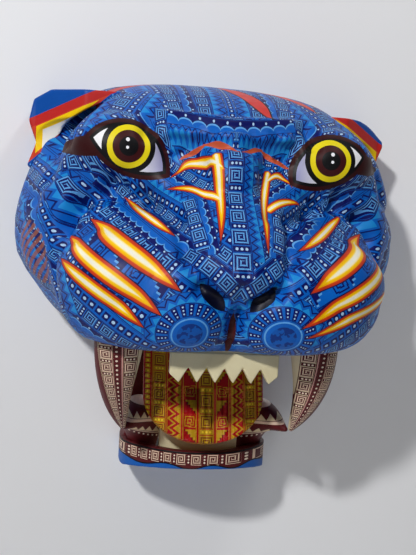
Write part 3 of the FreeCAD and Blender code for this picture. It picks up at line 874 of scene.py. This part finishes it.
    def material(self) -> bpy.types.Material:
        """The head's painted surface."""
        brush = Brush("painted_head")
        x, y, z = brush.place()
        u, v = self.spread(brush, x, y, z)
        side = abs(u)
        layout = Layout(brush)
        radius = self.rings(brush, layout, side, v)
        for strip in BRIDGE_STRIPS:
            layout.add(u, v, strip)
        for strip in PAIRED_STRIPS:
            layout.add(side, v, strip)
        patch = brush.noise(24.0, 2.0)
        base = brush.mix(patch.scaled(1.6, -0.35).most(0.0).least(1.0), rgb(0, 82, 172),
                         rgb(0, 102, 200))
        self.fill(brush, layout, side, v)
        blot = brush.noise(260.0, 1.0).above(0.5)
        base = brush.mix(radius.below(8.0) * blot.scaled(0.55, 0.2), base, BLUES.dark)
        base = brush.mix(radius.near(11.2, 0.5), base, BLUES.line)
        colour = layout.painted(base, BLUES)
        singe = brush.math("SQRT", (side - 176) * (side - 176) + (v - 2) * (v - 2) * 0.3)
        hatch = brush.math("SINE", (side * 0.8 + v * 0.8)).above(-0.2)
        burnt = singe.below(17.0) * u.below(0.0) * hatch
        colour = brush.mix(burnt * 0.8, colour, rgb(150, 84, 60))
        flame = self.nearest(u, v, FLAMES)
        colour = brush.mix(flame.below(1.12), colour, rgb(20, 20, 60))
        colour = brush.mix(flame.below(1.0), colour, brush.ramp(flame, FLAME_STOPS))
        stroke = self.nearest(u, v, RED_STROKES)
        colour = brush.mix(stroke.below(1.12), colour, rgb(30, 8, 20))
        colour = brush.mix(stroke.below(0.92), colour, RED_STROKE)
        line = self.nearest(u, v, BROW_LINES)
        colour = brush.mix(line.below(1.0), colour, rgb(196, 84, 52))
        # near-black nostrils: their dark paint, together with painted shade of the carved hollow
        nostril = self.nearest(side, v, (Flame((28, -7), (9, -25), 5.0, -1),)).below(1.0)
        colour = brush.mix(nostril, colour, rgb(4, 6, 30))
        slot = self.nearest(u, v, (Flame((0, -30), (0, -70), 3.2, 0),)).below(1.0)
        colour = brush.mix(slot, colour, MAROON)
        colour = self.eyes(brush, x, y, z, colour)
        return brush.finish(self.bare_back(brush, x, y, z, colour))


def ear_paint() -> bpy.types.Material:
    """Blue ears with a red fold, a yellow edge and a pale cup."""
    brush = Brush("painted_ears")
    x, y, z = brush.place()
    side = abs(x)
    fold = z - (155.0 - side).scaled(0.465, 126.0)
    base_line = z - (151.0 - side).scaled(0.92, 100.0)
    column, row = side % 4.0 - 2.0, z % 4.0 - 2.0
    fleck = brush.math("SQRT", column * column + row * row).below(0.7)
    blue = brush.mix(fleck * base_line.below(2.0), rgb(0, 74, 160), BLUES.line)
    panel = brush.mix(side.above(145.0).most(fold.above(-7.0)), rgb(240, 236, 225),
                      rgb(245, 200, 0))
    rim = side.above(150.5).most(base_line.below(3.0)).most(fold.above(-2.0))
    panel = brush.mix(rim, panel, rgb(205, 66, 40))
    inner = fold.below(0.0) * base_line.above(0.0) * y.below(-24.0)
    colour = brush.mix(inner, blue, panel)
    return brush.finish(brush.mix(fold.near(3.0, 4.0), colour, EAR_RED))


@dataclass(frozen=True)
class Band:
    """One lengthwise band of a narrow piece."""

    motif: Motif
    middle: float
    half: float


FANG_MAROON = rgb(88, 22, 26)
TONGUE_RED = rgb(168, 8, 14)
CREAMS = Palette(dark=rgb(84, 22, 24), line=rgb(232, 204, 178), bright=rgb(238, 220, 200),
                 accent=rgb(225, 205, 165))
GOLDS = Palette(dark=rgb(190, 146, 20), line=rgb(110, 20, 8), bright=rgb(245, 205, 40),
                accent=rgb(198, 150, 20))


@dataclass
class BandedPaint:
    """Brush work of fangs, tongue and jaw: bands side by side along the piece."""

    palette: Palette
    ground: Rgb
    bands: tuple[Band, ...]

    def laid(self, brush: Brush, along: Num, across: Num, unit: "Num | float" = 1.0,
             base: "bpy.types.NodeSocket | None" = None) -> bpy.types.NodeSocket:
        """Colour of the bands.

        Args:
            brush: the material in the making.
            along: millimetres along the piece.
            across: place across, in the bands' own unit.
            unit: millimetres per unit across.
            base: colour between the bands.
        """
        layout = Layout(brush)
        for band in self.bands:
            inside = across.near(band.middle, band.half * 1.16)
            layout.gather(inside, along / (unit * band.half), (across - band.middle)
                          * (1 / band.half), band.motif)
        return layout.painted(base or self.ground, self.palette)


def steel(name: str) -> bpy.types.Material:
    """Zinc-plated steel."""
    brush = Brush(name)
    brush.shader.inputs["Metallic"].default_value = 1.0
    streak = brush.noise(220.0, 4.0, (1, 1, 6))
    brush.feed(brush.shader.inputs["Base Color"],
               brush.mix(streak, rgb(176, 178, 180), rgb(205, 206, 208)))
    brush.feed(brush.shader.inputs["Roughness"], streak.scaled(0.25, 0.25))
    return brush.material


def bare_wood(name: str) -> bpy.types.Material:
    """Turned peg wood."""
    brush = Brush(name)
    grain = brush.noise(160.0, 4.0, (1, 1, 0.1))
    brush.feed(brush.shader.inputs["Base Color"], brush.mix(grain, rgb(190, 150, 100), BARE_WOOD))
    brush.feed(brush.shader.inputs["Roughness"], grain.scaled(0.2, 0.5))
    return brush.material


def tongue_paint() -> bpy.types.Material:
    """Red tongue with gold columns."""
    brush = Brush("painted_tongue")
    x, _, z = brush.place()
    columns = BandedPaint(GOLDS, TONGUE_RED, (
        Band(Motif.FRET, 0.0, 5.6), Band(Motif.STEPS, 14.0, 5.0), Band(Motif.TEETH, 27.0, 5.0),
        Band(Motif.FRET, 39.0, 4.6), Band(Motif.DOTS, 48.5, 3.2)))
    colour = columns.laid(brush, z, abs(x))
    return brush.finish(colour)


def upper_fang_paint() -> bpy.types.Material:
    """Maroon and cream bands down the upper fangs."""
    brush = Brush("painted_upper_fangs")
    x, _, z = brush.place()
    part = z.scaled(-1 / 92.0, -22.0 / 92.0).most(0.0).least(1.0)
    squared = part * part
    across = (abs(x) - squared.scaled(-9.0, 79.0)) / squared.scaled(-17.5, 19.0)
    bands = BandedPaint(CREAMS, FANG_MAROON, (
        Band(Motif.FRET, 0.66, 0.25), Band(Motif.DOTS, 0.2, 0.2), Band(Motif.FRET, -0.44, 0.3)))
    cream = across.near(0.66, 0.3).most(across.below(-0.1))
    ground = brush.mix(cream, FANG_MAROON, rgb(222, 206, 170))
    edges = across.near(0.42, 0.035).most(across.near(-0.04, 0.035))
    ground = brush.mix(edges, ground, rgb(225, 170, 160))
    return brush.finish(bands.laid(brush, z, across, 14.0, ground))


def lower_fang_paint() -> bpy.types.Material:
    """Maroon lower fangs with a cream ridge and teeth either side."""
    brush = Brush("painted_lower_fangs")
    x, _, z = brush.place()
    across = (z + 113.0 - (abs(x) - 58.0) * 0.25) * (1 / 16.0)
    bands = BandedPaint(CREAMS, FANG_MAROON, (
        Band(Motif.TEETH, 0.48, 0.28), Band(Motif.TEETH, -0.36, 0.28), Band(Motif.DOTS, -0.9, 0.2)))
    ridge = across.near(0.1, 0.1).most(across.near(-0.68, 0.08)).most(across.above(0.8))
    ground = brush.mix(ridge, FANG_MAROON, rgb(226, 196, 172))
    return brush.finish(bands.laid(brush, abs(x), across, 16.0, ground))


def jaw_paint() -> bpy.types.Material:
    """Maroon jaw with a fret round it and a blue wavy lip below."""
    brush = Brush("painted_jaw")
    x, y, z = brush.place()
    bands = BandedPaint(CREAMS, FANG_MAROON, (Band(Motif.FRET, 0.0, 4.8),))
    around = x - y.scaled(0.8, 50.0).least(0.0)
    colour = bands.laid(brush, around, z + 145.6)
    # painted shadow: a black line along the top of the fret, in the crease under the lower teeth
    colour = brush.mix(z.near(-140.2, 0.7), colour, BLACK)
    wave = z - brush.math("SINE", x * 0.16) * 1.8
    colour = brush.mix(wave.below(-151.6), colour, BLACK)
    colour = brush.mix(wave.below(-152.8), colour, rgb(20, 92, 178))
    return brush.finish(colour)


def tooth_paint() -> bpy.types.Material:
    """Cream teeth, with a little grime in random blotches."""
    brush = Brush("painted_teeth")
    grime = brush.noise(34.0, 4.0).scaled(1.4, -0.4).most(0.0).least(1.0)
    tone = brush.mix(grime, rgb(232, 222, 184), rgb(205, 190, 145))
    return brush.finish(tone)


class Finishes:
    """Materials by the slot of the piece that wears them."""

    def __init__(self) -> None:
        """Mix every paint once."""
        self.made = {
            "head_paint": HeadPaint().material(), "ear_paint": ear_paint(),
            "tongue_paint": tongue_paint(), "tooth_paint": tooth_paint(),
            "fang_paint": upper_fang_paint(), "low_fang_paint": lower_fang_paint(),
            "jaw_paint": jaw_paint(), "peg_wood": bare_wood("peg_wood"),
            "hanger_steel": steel("hanger_steel"), "screw_steel": steel("screw_steel")}

    def dress(self, piece: bpy.types.Object, finish: str) -> None:
        """Paint one piece all over."""
        piece.data.materials.clear()
        piece.data.materials.append(self.made[finish])


# ---- stage --------------------------------------------------------------------------------
WALL_GAP = 0.0006       # from the mask's back rim to the wall, in metres


@dataclass(frozen=True)
class Lamp:
    """A soft box: place, aim and size in metres, power in watts."""

    name: str
    place: Point
    aim: Point
    size: float
    power: float


LAMPS = (
    Lamp("key", (-0.75, -1.25, 0.68), (0, -0.05, -0.1), 0.1, 17),
    Lamp("top", (0.5, -0.95, 1.1), (0, -0.05, -0.1), 0.2, 4),
    Lamp("behind", (0.3, 1.3, 0.3), (0, 0, -0.1), 0.9, 9),
    Lamp("fill", (-0.3, -1.7, -0.5), (0, 0, -0.2), 1.2, 2),
)


@dataclass
class Studio:
    """Wall, floor, lights and camera."""

    turn: float = -10.5         # camera round the mask, degrees
    rise: float = 4.7
    roll: float = 3.6
    distance: float = 740.0
    focus: Point = (-5.9, -100.0, 10.0)
    lens: float = 58.4

    @staticmethod
    def one_sided(paint: bpy.types.Material) -> None:
        """Make the wall clear from behind, so that the mask's back can be seen."""
        tree = paint.node_tree
        side = tree.nodes.new("ShaderNodeNewGeometry")
        clear = tree.nodes.new("ShaderNodeBsdfTransparent")
        mix = tree.nodes.new("ShaderNodeMixShader")
        tree.links.new(side.outputs["Backfacing"], mix.inputs[0])
        tree.links.new(tree.nodes["Principled BSDF"].outputs[0], mix.inputs[1])
        tree.links.new(clear.outputs[0], mix.inputs[2])
        tree.links.new(mix.outputs[0], tree.nodes["Material Output"].inputs["Surface"])

    def plane(self, name: str, size: float, colour: Rgb, place: Point, upright: bool) -> None:
        """One large flat sheet that isn't part of the object."""
        Bench.clear()
        bpy.ops.mesh.primitive_plane_add(size=size, location=place,
                                         rotation=(math.pi / 2 if upright else 0, 0, 0))
        sheet = bpy.context.object
        sheet.name = name
        paint = bpy.data.materials.new(name)
        paint.use_nodes = True
        shader = paint.node_tree.nodes["Principled BSDF"]
        shader.inputs["Base Color"].default_value = (*colour, 1)
        shader.inputs["Roughness"].default_value = 0.9
        if upright:
            self.one_sided(paint)
        sheet.data.materials.append(paint)
        sheet.visible_shadow = False

    def light(self, lamp: Lamp) -> None:
        """Hang one soft box."""
        source = bpy.data.lights.new(lamp.name, "AREA")
        source.size = lamp.size
        source.energy = lamp.power
        holder = bpy.data.objects.new(lamp.name, source)
        bpy.context.scene.collection.objects.link(holder)
        holder.location = lamp.place
        beam = Vector(lamp.aim) - Vector(lamp.place)
        holder.rotation_euler = beam.to_track_quat("-Z", "Y").to_euler()

    def camera(self) -> None:
        """Camera on the mask, tilted as it hangs in the view."""
        turn, rise = math.radians(self.turn), math.radians(self.rise)
        back = Vector((math.sin(turn) * math.cos(rise), -math.cos(turn) * math.cos(rise),
                       math.sin(rise)))
        right = Vector((math.cos(turn), math.sin(turn), 0))
        up = back.cross(right)
        lean = Matrix.Rotation(-math.radians(self.roll), 3, back)
        right, up = lean.inverted() @ right, lean.inverted() @ up
        lens = bpy.data.cameras.new("camera")
        lens.lens = self.lens
        holder = bpy.data.objects.new("camera", lens)
        bpy.context.scene.collection.objects.link(holder)
        axes = Matrix((right, up, back)).transposed().to_4x4()
        axes.translation = spot(*self.focus) + back * self.distance * MM
        holder.matrix_world = axes
        bpy.context.scene.camera = holder

    def build(self) -> None:
        """Set the stage."""
        self.camera()
        self.plane("wall", 6.0, (0.86, 0.86, 0.87), (0, WALL_GAP, 0.9), True)
        self.plane("floor", 6.0, (0.8, 0.8, 0.8), (0, -1.5, -1.0), False)
        for lamp in LAMPS:
            self.light(lamp)
        world = bpy.data.worlds.new("room")
        world.use_nodes = True
        world.node_tree.nodes["Background"].inputs[0].default_value = (0.86, 0.88, 0.92, 1)
        world.node_tree.nodes["Background"].inputs[1].default_value = 0.08
        bpy.context.scene.world = world
        bpy.context.scene.view_settings.view_transform = "Standard"


PIECES = (
    FittedPiece("tongue", "painted_tongue", "tongue_paint", 1.6, 4),
    FittedPiece("upper_incisors", "upper_teeth", "tooth_paint", 0.9, 3),
    FittedPiece("lower_incisors", "lower_teeth", "tooth_paint", 0.9, 3),
    FittedPiece("left_upper_fang", "left_upper_horn", "fang_paint", 1.2, 3),
    FittedPiece("right_upper_fang", "right_upper_horn", "fang_paint", 1.2, 3),
    FittedPiece("left_lower_fang", "left_lower_horn", "fang_paint", 1.1, 3, "low_fang_paint"),
    FittedPiece("right_lower_fang", "right_lower_horn", "fang_paint", 1.1, 3, "low_fang_paint"),
    FittedPiece("lower_jaw", "carved_jaw", "jaw_paint", 1.5, 4),
    Ear("left_ear", "left_cupped_ear", "ear_paint", 1.3, 4),
    Ear("right_ear", "right_cupped_ear", "ear_paint", 1.3, 4, corner_cut=True),
)

PLAIN_NODES = (
    ("hanger_plate", "hanger_steel"), ("hanger_ring", "hanger_steel"),
    ("hanger_screws", "screw_steel"), ("ear_pegs", "peg_wood"), ("tongue_pegs", "peg_wood"),
    ("upper_incisor_pegs", "peg_wood"), ("upper_fang_pegs", "peg_wood"),
    ("jaw_pegs", "peg_wood"), ("lower_incisor_pegs", "peg_wood"),
    ("lower_fang_pegs", "peg_wood"))


def main() -> None:
    """Build every piece in order."""
    logging.basicConfig(level=logging.INFO, format="%(name)s: %(message)s")
    Studio().build()
    finishes = Finishes()
    Head().build(finishes)
    for piece in PIECES:
        piece.build(finishes)
    for node, finish in PLAIN_NODES:
        finishes.dress(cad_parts[node], finish)


if __name__ == "__main__":
    main()
